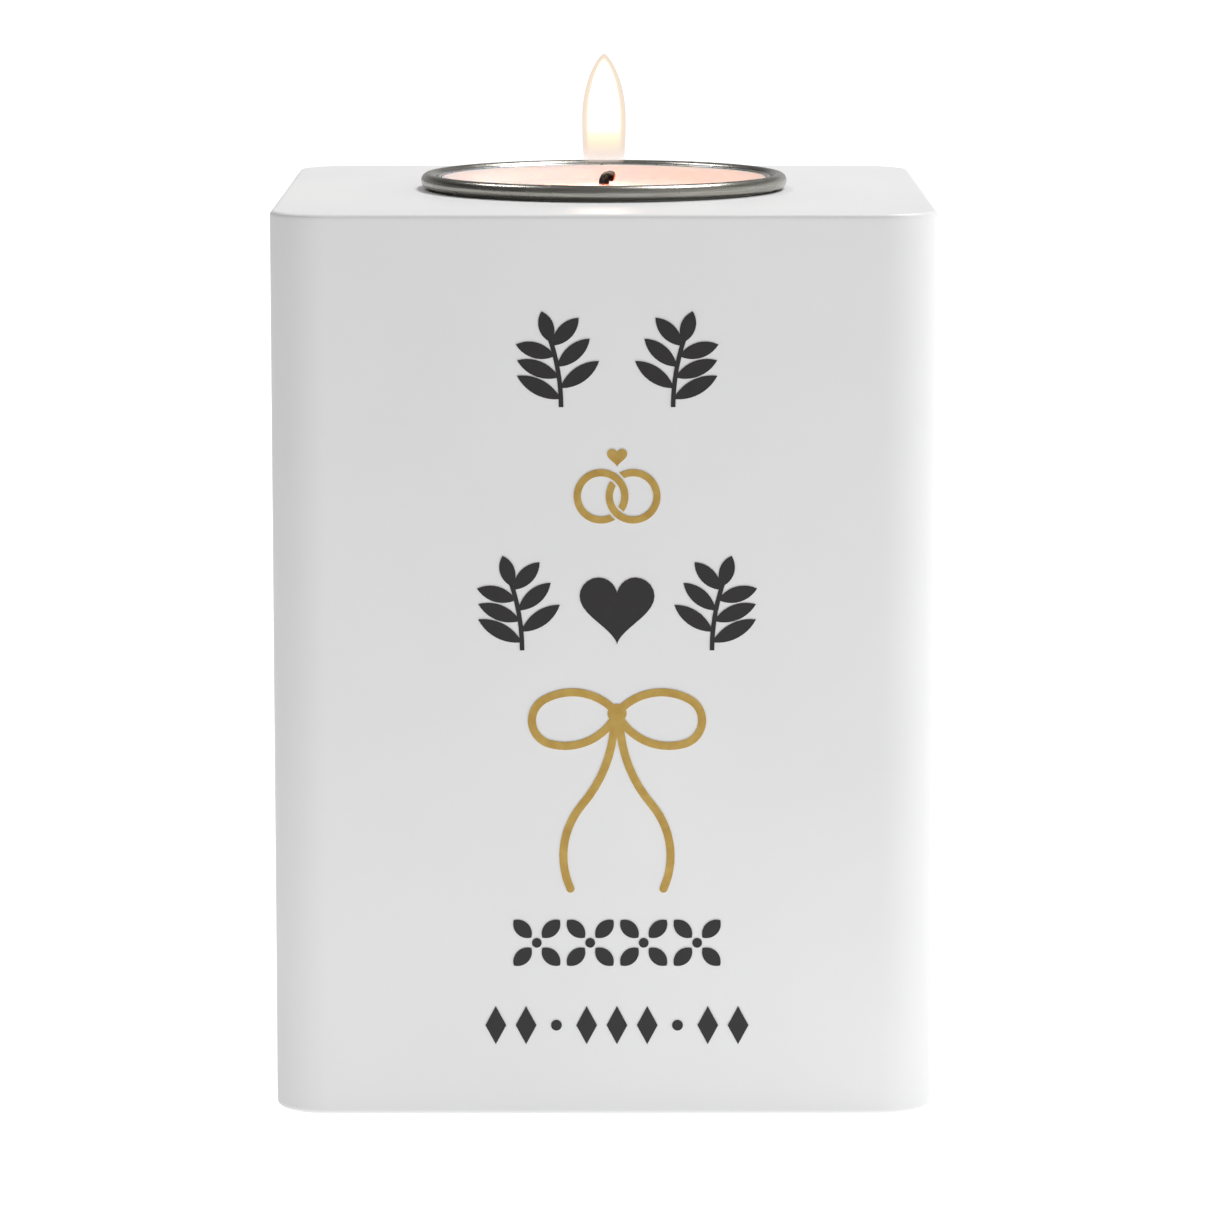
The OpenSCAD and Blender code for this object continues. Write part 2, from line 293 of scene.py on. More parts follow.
def spinning_tree():
    """Spins a section round the upright axis; a ripple may roll the top as set wax does."""
    tree = bpy.data.node_groups.new("spun_section", "GeometryNodeTree")
    face = tree.interface
    face.new_socket("Section", in_out="INPUT", socket_type="NodeSocketGeometry")
    face.new_socket("Around", in_out="INPUT", socket_type="NodeSocketInt")
    face.new_socket("Ripple height", in_out="INPUT", socket_type="NodeSocketFloat")
    face.new_socket("Ripple above", in_out="INPUT", socket_type="NodeSocketFloat")
    face.new_socket("Finish", in_out="INPUT", socket_type="NodeSocketMaterial")
    face.new_socket("Piece", in_out="OUTPUT", socket_type="NodeSocketGeometry")
    given = tree.nodes.new("NodeGroupInput").outputs
    points = add(tree, "GeometryNodeAttributeDomainSize", {"Geometry": given["Section"]})
    columns = add(tree, "ShaderNodeMath", {0: given["Around"], 1: 1.0}, operation="ADD")
    sheet = add(tree, "GeometryNodeMeshGrid", {"Size X": 1.0, "Size Y": 1.0,
                                               "Vertices X": points.outputs["Point Count"],
                                               "Vertices Y": columns})
    index = add(tree, "GeometryNodeInputIndex")
    share = add(tree, "ShaderNodeMath", {0: index, 1: columns}, operation="DIVIDE")
    row = add(tree, "ShaderNodeMath", {0: share}, operation="FLOOR")
    column = add(tree, "ShaderNodeMath", {0: index, 1: columns}, operation="MODULO")
    turn = add(tree, "ShaderNodeMath", {0: column, 1: given["Around"]}, operation="DIVIDE")
    turn = add(tree, "ShaderNodeMath", {0: turn, 1: math.tau}, operation="MULTIPLY")
    here = add(tree, "GeometryNodeInputPosition")
    found = add(tree, "GeometryNodeSampleIndex", {"Geometry": given["Section"], "Index": row},
                data_type="FLOAT_VECTOR", domain="POINT")
    tree.links.new(here.outputs[0], [s for s in found.inputs if s.name == "Value" and s.enabled][0])
    spot = [s for s in found.outputs if s.enabled][0]
    parts = add(tree, "ShaderNodeSeparateXYZ", {0: spot}).outputs
    cosine = add(tree, "ShaderNodeMath", {0: turn}, operation="COSINE")
    sine = add(tree, "ShaderNodeMath", {0: turn}, operation="SINE")
    x = add(tree, "ShaderNodeMath", {0: parts["X"], 1: cosine}, operation="MULTIPLY")
    y = add(tree, "ShaderNodeMath", {0: parts["X"], 1: sine}, operation="MULTIPLY")
    spun = add(tree, "ShaderNodeCombineXYZ", {"X": x, "Y": y, "Z": parts["Z"]})
    shell = add(tree, "GeometryNodeSetPosition", {"Geometry": sheet, "Position": spun})
    waves = add(tree, "ShaderNodeTexNoise", {"Vector": spun, "Scale": 240.0, "Detail": 2.0})
    waves = add(tree, "ShaderNodeMath", {0: waves.outputs[0], 1: 0.5}, operation="SUBTRACT")
    waves = add(tree, "ShaderNodeMath", {0: waves, 1: given["Ripple height"]}, operation="MULTIPLY")
    high = add(tree, "ShaderNodeMath", {0: parts["Z"], 1: given["Ripple above"]},
               operation="GREATER_THAN")
    waves = add(tree, "ShaderNodeMath", {0: waves, 1: high}, operation="MULTIPLY")
    rise = add(tree, "ShaderNodeCombineXYZ", {"Z": waves})
    shell = add(tree, "GeometryNodeSetPosition", {"Geometry": shell, "Offset": rise})
    shell = add(tree, "GeometryNodeMergeByDistance", {"Geometry": shell, "Distance": 2e-6})
    shell = add(tree, "GeometryNodeRealizeInstances", {"Geometry": shell})
    shell = add(tree, "GeometryNodeSetMaterial", {"Geometry": shell, "Material": given["Finish"]})
    add(tree, "NodeGroupOutput", {0: shell})
    return tree


spun_section = spinning_tree()


def grown(name, start, tree, **values):
    """The plain mesh object that a tree makes of a starting mesh, with the tree's inputs set."""
    seed = bpy.data.objects.new(name + "_start", start)
    bpy.context.scene.collection.objects.link(seed)
    modifier = seed.modifiers.new("grow", "NODES")
    modifier.node_group = tree
    for item in tree.interface.items_tree:
        key = item.name.replace(" ", "_")
        if item.in_out == "INPUT" and key in values:
            modifier[item.identifier] = values[key]
    bpy.context.view_layer.update()
    mesh = bpy.data.meshes.new_from_object(seed.evaluated_get(
        bpy.context.evaluated_depsgraph_get()))
    seed.modifiers.remove(modifier)
    bpy.data.objects.remove(seed)
    bm = bmesh.new()
    bm.from_mesh(mesh)
    piece = finished(name, bm)
    for material in mesh.materials:
        piece.data.materials.append(material)
    return piece


def spun_piece(name, section, finish, around=192, ripple=0.0, above=0.0):
    """A turned piece from its section, points of (radius, height) in metres."""
    start = bpy.data.meshes.new(name + "_section")
    start.from_pydata([(r, 0, z) for r, z in section],
                      [(i, i + 1) for i in range(len(section) - 1)], [])
    return grown(name, start, spun_section, Around=around, Ripple_height=ripple,
                 Ripple_above=above, Finish=finish)


# Brushed stainless steel, polished with a fine belt while it turned on the lathe: fine scratches
# run round the axis and stretch the highlights along the rim. They are drawn 0.12 mm apart; the
# real ones are about 0.03 mm apart, too fine to show.
steel, tree, shader = finish_named("brushed_stainless_steel", Metallic=1.0)
place = add(tree, "ShaderNodeTexCoord").outputs["Object"]


def turned_lines(tree, place, lines_per_metre, length):
    """Noise drawn out round the upright axis, as a tool leaves it on a turned piece."""
    parts = add(tree, "ShaderNodeSeparateXYZ", {0: place}).outputs
    turn = add(tree, "ShaderNodeMath", {0: parts["Y"], 1: parts["X"]}, operation="ARCTAN2")
    flat = add(tree, "ShaderNodeVectorMath", {0: place, 1: (1, 1, 0)}, operation="MULTIPLY")
    radius = add(tree, "ShaderNodeVectorMath", {0: flat}, operation="LENGTH")
    across = add(tree, "ShaderNodeMath", {0: radius.outputs["Value"], 1: lines_per_metre},
                 operation="MULTIPLY")
    down = add(tree, "ShaderNodeMath", {0: parts["Z"], 1: lines_per_metre}, operation="MULTIPLY")
    around = add(tree, "ShaderNodeMath", {0: turn, 1: length}, operation="MULTIPLY")
    lines = add(tree, "ShaderNodeCombineXYZ", {"X": across, "Y": down, "Z": around})
    return add(tree, "ShaderNodeTexNoise", {"Vector": lines, "Scale": 1.0, "Detail": 4.0})


scratches = turned_lines(tree, place, 8000.0, 5.0)
haze = add(tree, "ShaderNodeTexNoise", {"Vector": place, "Scale": 260.0, "Detail": 3.0})
tint = ramp(tree, scratches, [(0.3, "#95938c"), (0.7, "#b3b0a8")])
tree.links.new(tint.outputs[0], shader.inputs["Base Color"])
sheen = add(tree, "ShaderNodeMapRange", {0: haze.outputs[0], 1: 0.3, 2: 0.7, 3: 0.22, 4: 0.3})
tree.links.new(sheen.outputs[0], shader.inputs["Roughness"])
relief = add(tree, "ShaderNodeBump", {"Height": scratches.outputs[0], "Distance": 0.003 * MM})
tree.links.new(relief.outputs[0], shader.inputs["Normal"])

inner_foot = INSERT_FOOT - INSERT_WALL
section = [(0, INSERT_FLOOR), (MID_FLOOR, INSERT_FLOOR),
           (INSERT_R - INSERT_FOOT - HOLD, INSERT_FLOOR)]
section += arc((INSERT_R - INSERT_FOOT, INSERT_FLOOR + inner_foot), inner_foot, -90, 0, 8)
section += [(INSERT_R - INSERT_WALL, INSERT_FLOOR + inner_foot + HOLD),
            (INSERT_R - INSERT_WALL, MID_WALL), (INSERT_R - INSERT_WALL, BEAD_MID[1] - HOLD)]
section += arc(BEAD_MID, BEAD_R, 180, -90, 36)
section += arc(BEAD_MID, BEAD_R - INSERT_WALL, -90, 180, 24)
section += [(INSERT_R, BEAD_MID[1] - HOLD), (INSERT_R, MID_WALL),
            (INSERT_R, INSERT_FLOOR + inner_foot + HOLD)]
section += arc((INSERT_R - INSERT_FOOT, INSERT_FLOOR + inner_foot), INSERT_FOOT, 0, -90, 8)
section += [(INSERT_R - INSERT_FOOT - HOLD, INSERT_FLOOR - INSERT_WALL),
            (MID_FLOOR, INSERT_FLOOR - INSERT_WALL), (0, INSERT_FLOOR - INSERT_WALL)]
rolled_rim_insert = spun_piece("rolled_rim_insert", section, steel, around=256)
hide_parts("insert_cup")
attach(rolled_rim_insert, "insert")

# ---------------------------------------------------------------------------------------------
# Tea light cup
# The light's own cup, drawn from 0.15 mm aluminium in one stroke of a press and filled on a
# casting line. Its lip is curled over, and shallow rings stiffen its floor.

foil_low, foil_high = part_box("tealight_cup")
FOIL_WALL = 0.15 * MM
FOIL_FLOOR = foil_low.z + FOIL_WALL
FOIL_R = foil_high.x - 0.125 * MM
FOIL_FOOT = 1.0 * MM
LIP_R = 0.2 * MM
LIP_MID = (foil_high.x - LIP_R, foil_high.z - LIP_R)

# Drawn aluminium foil: bright, with soft streaks up the wall from the die and small dents
foil, tree, shader = finish_named("drawn_aluminium_foil", Metallic=1.0)
place = add(tree, "ShaderNodeTexCoord").outputs["Object"]
drawn = add(tree, "ShaderNodeMapping", {"Vector": place, "Scale": (900.0, 900.0, 60.0)})
streaks = add(tree, "ShaderNodeTexNoise", {"Vector": drawn, "Scale": 1.0, "Detail": 3.0})
dents = add(tree, "ShaderNodeTexNoise", {"Vector": place, "Scale": 330.0, "Detail": 2.0})
tint = ramp(tree, streaks, [(0.3, "#bfc0c1"), (0.7, "#cbcccd")])
tree.links.new(tint.outputs[0], shader.inputs["Base Color"])
sheen = add(tree, "ShaderNodeMapRange", {0: streaks.outputs[0], 1: 0.3, 2: 0.7, 3: 0.26, 4: 0.34})
tree.links.new(sheen.outputs[0], shader.inputs["Roughness"])
relief = add(tree, "ShaderNodeBump", {"Height": streaks.outputs[0], "Distance": 0.004 * MM})
relief = add(tree, "ShaderNodeBump", {"Height": dents.outputs[0], "Distance": 0.05 * MM,
                                      "Normal": relief})
tree.links.new(relief.outputs[0], shader.inputs["Normal"])

# The floor's stiffening rings are shallow grooves underneath; its inside stays flat
inner_foot = FOIL_FOOT - FOIL_WALL
joined = math.degrees(math.acos((LIP_MID[0] - FOIL_R + FOIL_WALL) / LIP_R))
section = [(0, FOIL_FLOOR), (MID_FLOOR, FOIL_FLOOR), (FOIL_R - FOIL_FOOT - HOLD, FOIL_FLOOR)]
section += arc((FOIL_R - FOIL_FOOT, FOIL_FLOOR + inner_foot), inner_foot, -90, 0, 6)
section += [(FOIL_R - FOIL_WALL, FOIL_FLOOR + inner_foot + HOLD), (FOIL_R - FOIL_WALL, MID_WALL)]
section += arc(LIP_MID, LIP_R, 180 + joined, -joined, 20)
section += [(FOIL_R, MID_WALL), (FOIL_R, FOIL_FLOOR + inner_foot + HOLD)]
section += arc((FOIL_R - FOIL_FOOT, FOIL_FLOOR + inner_foot), FOIL_FOOT, 0, -90, 6)
section += [(FOIL_R - FOIL_FOOT - HOLD, FOIL_FLOOR - FOIL_WALL)]
under = FOIL_FLOOR - FOIL_WALL
for ring_r in (15 * MM, 12.5 * MM, 10 * MM):
    section += [(ring_r + 0.6 * MM, under), (ring_r + 0.3 * MM, under + 0.08 * MM),
                (ring_r - 0.3 * MM, under + 0.08 * MM), (ring_r - 0.6 * MM, under)]
section += [(4 * MM, under), (0, under)]
foil_cup = spun_piece("foil_cup", section, foil, around=192)
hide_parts("tealight_cup")
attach(foil_cup, "tealight")

# ---------------------------------------------------------------------------------------------
# Wax
# Ivory paraffin cast in the foil cup round the wick. It has shrunk a hair from the lip, and the
# flame has melted a pool in its middle that climbs a little way up the wick.

wax_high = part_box("wax")[1]
WAX_R = wax_high.x
WAX_TOP = wax_high.z
POOL_TOP = WAX_TOP - 1.05 * MM
POOL_R = 11 * MM
SLOPE_W = 5 * MM
WICK_HOLE = 0.63 * MM
NECK_HOLE = 1.16 * MM
NECK_TOP = FOIL_FLOOR + 3.33 * MM
DISC_HOLE = 6.53 * MM
DISC_TOP = FOIL_FLOOR + 0.33 * MM

# Ivory paraffin wax, lit from within: light runs several millimetres under its skin, the set
# rim is satin with a trace of frost, and the pool is as glossy as water. Its faint peach
# emission is a painted glow: the wax gives no light of its own.
paraffin, tree, shader = finish_named("ivory_paraffin_wax", IOR=1.44, Subsurface_Weight=1.0,
                                      Subsurface_Scale=1.0 * MM, Specular_IOR_Level=0.3,
                                      Emission_Strength=0.03)
# Painted glow: a faint peach emission in place of the flame's light on the wax
shader.inputs["Emission Color"].default_value = linear("#f8cdb4")
shader.inputs["Subsurface Radius"].default_value = (4.0, 2.2, 1.3)
place = add(tree, "ShaderNodeTexCoord").outputs["Object"]
flat = add(tree, "ShaderNodeVectorMath", {0: place, 1: (1, 1, 0)}, operation="MULTIPLY")
out = add(tree, "ShaderNodeVectorMath", {0: flat}, operation="LENGTH").outputs["Value"]
edge = add(tree, "ShaderNodeTexNoise", {"Vector": place, "Scale": 180.0, "Detail": 3.0})
wander = add(tree, "ShaderNodeMapRange", {0: edge.outputs[0], 1: 0.2, 2: 0.8, 3: -1.0 * MM,
                                          4: 1.0 * MM})
reach = add(tree, "ShaderNodeMath", {0: out, 1: wander}, operation="ADD")
melted = add(tree, "ShaderNodeMapRange", {0: reach, 1: 10.5 * MM, 2: 12.5 * MM, 3: 1.0, 4: 0.0})
# Painted light: the tint is peachier than ivory wax, standing in for the flame's warm light on it,
# and one side is a deeper peach than the other as painted shade
across = add(tree, "ShaderNodeSeparateXYZ", {0: place}).outputs["X"]
share = add(tree, "ShaderNodeMapRange", {0: across, 1: -WAX_R, 2: WAX_R, 3: 0.0, 4: 1.0})
tint = ramp(tree, share, [(0.0, "#e5d0cb"), (0.35, "#e4ccc6"), (0.6, "#e3c5bc"), (1.0, "#e6beb0")])
tree.links.new(tint.outputs[0], shader.inputs["Base Color"])
frost = add(tree, "ShaderNodeTexNoise", {"Vector": place, "Scale": 1600.0, "Detail": 4.0})
skin_sheen = add(tree, "ShaderNodeMapRange", {0: frost.outputs[0], 1: 0.3, 2: 0.7, 3: 0.42, 4: 0.58})
sheen = add(tree, "ShaderNodeMix", {0: melted, 2: skin_sheen, 3: 0.32})
tree.links.new(sheen.outputs[0], shader.inputs["Roughness"])
set_share = add(tree, "ShaderNodeMath", {0: 1.0, 1: melted}, operation="SUBTRACT")
relief = add(tree, "ShaderNodeBump", {"Height": frost.outputs[0], "Distance": 0.02 * MM,
                                      "Strength": set_share})
tree.links.new(relief.outputs[0], shader.inputs["Normal"])

# The melted wax climbs the wick in a small fillet
section = [(WICK_HOLE, NECK_TOP), (WICK_HOLE, 95 * MM), (WICK_HOLE, POOL_TOP + 0.16 * MM)]
section += [(WICK_HOLE + d * MM, POOL_TOP + 0.16 * MM * math.exp(-d / 0.22))
            for d in (0.08, 0.18, 0.3, 0.45, 0.65, 0.95, 1.4)]
section += [(r * MM, POOL_TOP) for r in (3, 4.5, 6, 7.5, 9, 10.2)]
section += [(POOL_R + SLOPE_W * i / 14, POOL_TOP
             + (WAX_TOP - POOL_TOP) * (1 - math.cos(math.pi * i / 14)) / 2) for i in range(15)]
section += [(16.6 * MM, WAX_TOP), (17.2 * MM, WAX_TOP), (17.9 * MM, WAX_TOP)]
section += arc((WAX_R - 0.25 * MM, WAX_TOP - 0.25 * MM), 0.25 * MM, 90, 0, 5)
section += [(WAX_R, MID_WALL), (WAX_R, FOIL_FLOOR + inner_foot + HOLD)]
section += arc((WAX_R - inner_foot, FOIL_FLOOR + inner_foot), inner_foot, 0, -90, 6)
section += [(12 * MM, FOIL_FLOOR), (DISC_HOLE, FOIL_FLOOR), (DISC_HOLE, DISC_TOP),
            (NECK_HOLE, DISC_TOP), (NECK_HOLE, NECK_TOP), (WICK_HOLE, NECK_TOP)]
melted_wax = spun_piece("melted_wax", section, paraffin, around=160, ripple=0.05 * MM,
                        above=POOL_TOP - 0.2 * MM)
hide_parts("wax")
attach(melted_wax, "tealight")

# ---------------------------------------------------------------------------------------------
# Wick sustainer
# A disc of tinplate with a neck that is crimped on the foot of the wick, cast into the wax. It
# keeps the wick upright and stops the flame before the wax has all gone.

# Tinplate: thin bright steel with a crystalline flower of tin, dulled by the wax
tinplate, tree, shader = finish_named("tinplate", Metallic=1.0)
place = add(tree, "ShaderNodeTexCoord").outputs["Object"]
flower = add(tree, "ShaderNodeTexVoronoi", {"Vector": place, "Scale": 420.0})
tint = ramp(tree, flower.outputs["Color"], [(0.0, "#a9abab"), (1.0, "#c9cac8")])
tree.links.new(tint.outputs[0], shader.inputs["Base Color"])
sheen = add(tree, "ShaderNodeMapRange", {0: flower.outputs["Color"], 1: 0.0, 2: 1.0, 3: 0.22,
                                         4: 0.42})
tree.links.new(sheen.outputs[0], shader.inputs["Roughness"])
frame["nodes"]["wick_sustainer"].data.materials.clear()
frame["nodes"]["wick_sustainer"].data.materials.append(tinplate)

# ---------------------------------------------------------------------------------------------
# Wick
# Eight cotton strands braided round each other, waxed, then charred black above the pool. The
# braid is wound tighter on one side, so it curls over as it burns and its tip stays alight.

WICK_FOOT = FOIL_FLOOR
CURL_START = POOL_TOP + 0.5 * MM
CURL_R = 0.65 * MM
CURL_TURN = 100
BRAID_R = 0.36 * MM
STRAND_R = 0.24 * MM
STRANDS = 8
BRAID_PITCH = 2.6 * MM


def braiding_tree():
    """Braids strands round a path: half go one way round and half the other, over and under."""
    tree = bpy.data.node_groups.new("braided_wick", "GeometryNodeTree")
    face = tree.interface
    face.new_socket("Path", in_out="INPUT", socket_type="NodeSocketGeometry")
    face.new_socket("Strands", in_out="INPUT", socket_type="NodeSocketInt")
    for name in ("Braid radius", "Strand radius", "Turns", "Char roughness"):
        face.new_socket(name, in_out="INPUT", socket_type="NodeSocketFloat")
    face.new_socket("Finish", in_out="INPUT", socket_type="NodeSocketMaterial")
    face.new_socket("Piece", in_out="OUTPUT", socket_type="NodeSocketGeometry")
    given = tree.nodes.new("NodeGroupInput").outputs
    path = add(tree, "GeometryNodeMeshToCurve", {"Mesh": given["Path"]})
    path = add(tree, "GeometryNodeSetCurveNormal", {0: path})
    line = add(tree, "GeometryNodeCurvePrimitiveLine", {"End": (0, 0, 1)})
    line = add(tree, "GeometryNodeResampleCurve", {"Curve": line, "Count": 260})
    copies = add(tree, "GeometryNodeDuplicateElements", {"Geometry": line,
                                                         "Amount": given["Strands"]},
                 domain="SPLINE")
    number = copies.outputs["Duplicate Index"]
    along = add(tree, "GeometryNodeSplineParameter").outputs["Factor"]
    found = add(tree, "GeometryNodeSampleCurve", {"Curves": path, "Factor": along},
                mode="FACTOR", use_all_curves=True)
    spot, ahead, aside = (found.outputs[k] for k in ("Position", "Tangent", "Normal"))
    third = add(tree, "ShaderNodeVectorMath", {0: ahead, 1: aside}, operation="CROSS_PRODUCT")
    odd = add(tree, "ShaderNodeMath", {0: number, 1: 2.0}, operation="MODULO")
    way = add(tree, "ShaderNodeMath", {0: odd, 1: 2.0}, operation="MULTIPLY")
    way = add(tree, "ShaderNodeMath", {0: way, 1: 1.0}, operation="SUBTRACT")
    wound = add(tree, "ShaderNodeMath", {0: along, 1: given["Turns"]}, operation="MULTIPLY")
    wound = add(tree, "ShaderNodeMath", {0: wound, 1: way}, operation="MULTIPLY")
    start = add(tree, "ShaderNodeMath", {0: number, 1: given["Strands"]}, operation="DIVIDE")
    turn = add(tree, "ShaderNodeMath", {0: wound, 1: start}, operation="ADD")
    turn = add(tree, "ShaderNodeMath", {0: turn, 1: math.tau}, operation="MULTIPLY")
    weave = add(tree, "ShaderNodeMath", {0: along, 1: given["Turns"]}, operation="MULTIPLY")
    weave = add(tree, "ShaderNodeMath", {0: weave, 1: math.tau * 4}, operation="MULTIPLY")
    weave = add(tree, "ShaderNodeMath", {0: weave}, operation="SINE")
    weave = add(tree, "ShaderNodeMath", {0: weave, 1: way}, operation="MULTIPLY")
    weave = add(tree, "ShaderNodeMath", {0: weave, 1: 0.12, 2: 0.92}, operation="MULTIPLY_ADD")
    out = add(tree, "ShaderNodeMath", {0: weave, 1: given["Braid radius"]}, operation="MULTIPLY")
    taper = add(tree, "ShaderNodeMapRange", {0: along, 1: 0.975, 2: 1.0, 3: 1.0, 4: 0.45},
                interpolation_type="SMOOTHERSTEP")
    out = add(tree, "ShaderNodeMath", {0: out, 1: taper}, operation="MULTIPLY")
    cosine = add(tree, "ShaderNodeMath", {0: turn}, operation="COSINE")
    cosine = add(tree, "ShaderNodeMath", {0: cosine, 1: out}, operation="MULTIPLY")
    sine = add(tree, "ShaderNodeMath", {0: turn}, operation="SINE")
    sine = add(tree, "ShaderNodeMath", {0: sine, 1: out}, operation="MULTIPLY")
    a = add(tree, "ShaderNodeVectorMath", {0: aside, "Scale": cosine}, operation="SCALE")
    b = add(tree, "ShaderNodeVectorMath", {0: third, "Scale": sine}, operation="SCALE")
    offset = add(tree, "ShaderNodeVectorMath", {0: a, 1: b}, operation="ADD")
    spot = add(tree, "ShaderNodeVectorMath", {0: spot, 1: offset}, operation="ADD")
    strands = add(tree, "GeometryNodeSetPosition", {"Geometry": copies, "Position": spot})
    strands = add(tree, "GeometryNodeSetCurveRadius", {"Curve": strands, "Radius": taper})
    yarn = add(tree, "GeometryNodeCurvePrimitiveCircle", {"Resolution": 8,
                                                          "Radius": given["Strand radius"]})
    tubes = add(tree, "GeometryNodeCurveToMesh", {"Curve": strands, "Profile Curve": yarn,
                                                  "Scale": taper, "Fill Caps": True})
    here = add(tree, "GeometryNodeInputPosition")
    crumbs = add(tree, "ShaderNodeTexNoise", {"Vector": here, "Scale": 2600.0, "Detail": 3.0})
    crumbs = add(tree, "ShaderNodeMath", {0: crumbs.outputs[0], 1: 0.45}, operation="SUBTRACT")
    height = add(tree, "ShaderNodeSeparateXYZ", {0: here}).outputs["Z"]
    burnt = add(tree, "ShaderNodeMapRange", {0: height, 1: POOL_TOP, 2: POOL_TOP + 1.0 * MM,
                                             3: 0.15, 4: 1.0})
    push = add(tree, "ShaderNodeMath", {0: crumbs, 1: given["Char roughness"]},
               operation="MULTIPLY")
    push = add(tree, "ShaderNodeMath", {0: push, 1: burnt}, operation="MULTIPLY")
    outward = add(tree, "GeometryNodeInputNormal")
    push = add(tree, "ShaderNodeVectorMath", {0: outward, "Scale": push}, operation="SCALE")
    charred = add(tree, "GeometryNodeSetPosition", {"Geometry": tubes, "Offset": push})
    braid = add(tree, "GeometryNodeRealizeInstances", {"Geometry": charred})
    braid = add(tree, "GeometryNodeSetMaterial", {"Geometry": braid, "Material": given["Finish"]})
    add(tree, "NodeGroupOutput", {0: braid})
    return tree


# Charred cotton: brown-black and crumbly where it has burnt, with a live ember at the tip. Where it
# leaves the pool, a band of orange emission is painted light: the flame's light on the soaked cotton
cotton, tree, shader = finish_named("charred_cotton_braid", IOR=1.47)
place = add(tree, "ShaderNodeTexCoord").outputs["Object"]
char = add(tree, "ShaderNodeTexNoise", {"Vector": place, "Scale": 2600.0, "Detail": 4.0})
height = add(tree, "ShaderNodeSeparateXYZ", {0: place}).outputs["Z"]
burnt = add(tree, "ShaderNodeMapRange", {0: height, 1: POOL_TOP - 0.1 * MM, 2: POOL_TOP + 0.35 * MM,
                                         3: 0.0, 4: 1.0})
black = ramp(tree, char, [(0.35, "#040302"), (0.65, "#0d0805")])
waxed = ramp(tree, char, [(0.3, "#c98a4c"), (0.7, "#e0ac72")])
tint = add(tree, "ShaderNodeMix", {0: burnt, 6: waxed, 7: black}, data_type="RGBA")
tree.links.new(tint.outputs[2], shader.inputs["Base Color"])
sheen = add(tree, "ShaderNodeMapRange", {0: char.outputs[0], 1: 0.3, 2: 0.7, 3: 0.6, 4: 0.95})
tree.links.new(sheen.outputs[0], shader.inputs["Roughness"])
tip = (CURL_R + 0.74 * MM, -0.15 * MM, CURL_START + 0.5 * MM)
from_tip = add(tree, "ShaderNodeVectorMath", {0: place, 1: tip}, operation="DISTANCE")
ember = add(tree, "ShaderNodeMapRange", {0: from_tip.outputs["Value"], 1: 0.2 * MM, 2: 0.46 * MM,
                                         3: 1.0, 4: 0.0})
# Painted glow: orange emission in a band just above the pool, in place of the flame's light on the
# wick; the ember at the tip glows for real
painted_glow_at_foot = add(tree, "ShaderNodeMapRange", {0: height, 1: POOL_TOP + 0.1 * MM,
                                           2: POOL_TOP + 0.3 * MM, 3: 0.8, 4: 0.0})
glow = add(tree, "ShaderNodeMath", {0: ember, 1: painted_glow_at_foot}, operation="MAXIMUM")
ember_and_painted_glow_tint = ramp(tree, glow, [(0.0, "#000000"), (0.35, "#a32405"), (0.7, "#f0561a"),
                              (1.0, "#ff8a4a")])
tree.links.new(ember_and_painted_glow_tint.outputs[0], shader.inputs["Emission Color"])
shader.inputs["Emission Strength"].default_value = 1.1
relief = add(tree, "ShaderNodeBump", {"Height": char.outputs[0], "Distance": 0.05 * MM})
tree.links.new(relief.outputs[0], shader.inputs["Normal"])

path = [(0, 0, WICK_FOOT + (CURL_START - WICK_FOOT) * i / 30) for i in range(31)]
for step in range(1, 25):
    turn = math.radians(180 - CURL_TURN * step / 24)
    path.append((CURL_R + CURL_R * math.cos(turn), 0, CURL_START + CURL_R * math.sin(turn)))
ahead = math.radians(90 - CURL_TURN)
end_x, _, end_z = path[-1]
path += [(end_x + d * MM * math.cos(ahead), 0, end_z + d * MM * math.sin(ahead))
         for d in (0.15, 0.3, 0.42, 0.52)]
start = bpy.data.meshes.new("wick_path")
start.from_pydata(path, [(i, i + 1) for i in range(len(path) - 1)], [])
braided_wick = grown("braided_wick", start, braiding_tree(), Strands=STRANDS,
                     Braid_radius=BRAID_R, Strand_radius=STRAND_R,
                     Turns=(CURL_START - WICK_FOOT + CURL_R * 2) / BRAID_PITCH / 2,
                     Char_roughness=0.16 * MM, Finish=cotton)
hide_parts("wick")
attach(braided_wick, "tealight")

# ---------------------------------------------------------------------------------------------
# Flame
# Burning wax vapour round and above the wick: a clear zone at the root, a white-hot body of
# glowing soot, and a thin peach mantle round it. Each zone is a closed skin inside the next.

flame_low, flame_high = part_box("flame")
FLAME_UP = 7.5 * MM
FLAME_MIDDLE = flame_high.z - FLAME_UP
FLAME_DOWN = FLAME_MIDDLE - flame_low.z
FLAME_R = 2.5 * MM


def flame_section(shrink):
    """The flame's section, drawn in by a margin: a blunt tip above and a rounded root below."""
    points = []
    for step in range(65):
        rise = -math.cos(math.pi * step / 64)
        reach = max(0.0, 1 - rise * rise) ** (0.72 if rise > 0 else 0.12)
        tall = (FLAME_UP if rise > 0 else FLAME_DOWN) - shrink
        points.append(((FLAME_R - shrink) * reach, FLAME_MIDDLE + tall * rise))
    return points


# The heights, in millimetres, between which the flame's colours are laid out
GLOW_LOW = 100
GLOW_HIGH = 116


